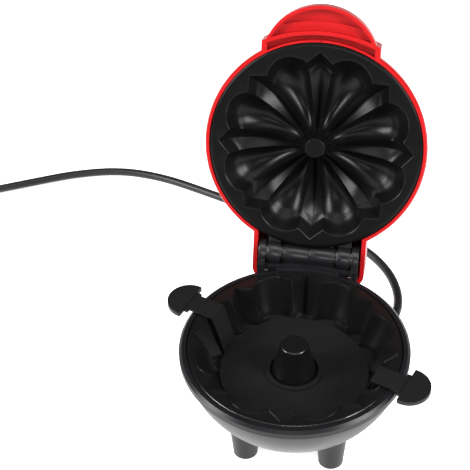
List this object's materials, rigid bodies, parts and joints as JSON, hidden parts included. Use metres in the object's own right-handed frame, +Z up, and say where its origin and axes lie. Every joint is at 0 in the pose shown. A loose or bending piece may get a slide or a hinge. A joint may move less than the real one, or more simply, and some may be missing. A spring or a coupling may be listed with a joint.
{
  "type": "ring cake maker",
  "caption": "Bowl-shaped electric ring-cake maker with a fluted pan, a hinged fluted lid, a lifter with finger tabs, four feet and a corded plug.",
  "frame": {"origin": "on the table plane under the bowl's axis, midway between the four foot pads", "axes": "+Z up, -Y towards the user and the lid's handle when closed, +X to the user's right along the hinge"},
  "size_m": [0.4589, 0.3519, 0.2214],
  "materials": {
    "red_shell": "glossy moulded",
    "cast_plate": "satin black non-stick coating",
    "black_plastic": "semi-gloss moulded",
    "foot_rubber": "matt",
    "black_silicone": "satin silicone",
    "steel": "zinc plated",
    "aluminium_sheet": "bright sheet",
    "heater_sheath": "dull drawn tube",
    "pin_brass": "plated",
    "white_insulator": "matt",
    "wire_insulation": "silicone sleeve",
    "cord_jacket": "satin flexible",
    "lens": "clear tinted",
    "lamp": "neon lamp"
  },
  "bodies": {
    "base": {"base_shell": "black_plastic", "foot_pad_rear_right": "foot_rubber", "foot_pad_rear_left": "foot_rubber", "foot_pad_front_left": "foot_rubber", "foot_pad_front_right": "foot_rubber", "base_case_screws": "steel", "base_plate": "cast_plate", "base_heater": "heater_sheath", "base_heat_shield": "aluminium_sheet", "base_thermostat": "steel", "base_thermal_fuse": "white_insulator", "terminal_block": "white_insulator", "base_wiring": "wire_insulation", "hinge_bracket": "black_plastic", "hinge_bracket_screws": "steel", "hinge_pin_left": "steel", "hinge_pin_right": "steel", "hinge_washers": "steel", "lifter": "black_silicone", "cord_clamp": "white_insulator", "cord_clamp_screws": "steel", "strain_relief": "cord_jacket", "power_cord": "cord_jacket", "cord_coil": "cord_jacket", "cord_tie": "black_plastic", "plug_body": "black_plastic", "plug_pins": "pin_brass"},
    "lid": {"lid_shell": "red_shell", "lid_plate": "cast_plate", "lid_heater": "heater_sheath", "lid_heat_shield": "aluminium_sheet", "lid_shield_screws": "steel", "lid_shield_spacers": "aluminium_sheet", "lid_thermal_fuse": "white_insulator", "lid_wiring": "wire_insulation", "indicator_lens": "lens", "indicator_lamp": "lamp", "lid_hinge_block": "black_plastic", "lid_hinge_screws": "steel"}
  },
  "joints": [
    {"name": "lid_hinge", "type": "hinge", "parent": "base", "child": "lid", "pos_m": [0, 0.0697, 0.07475], "axis": [1, 0, 0], "range_deg": [0, 109.3]}
  ]
}
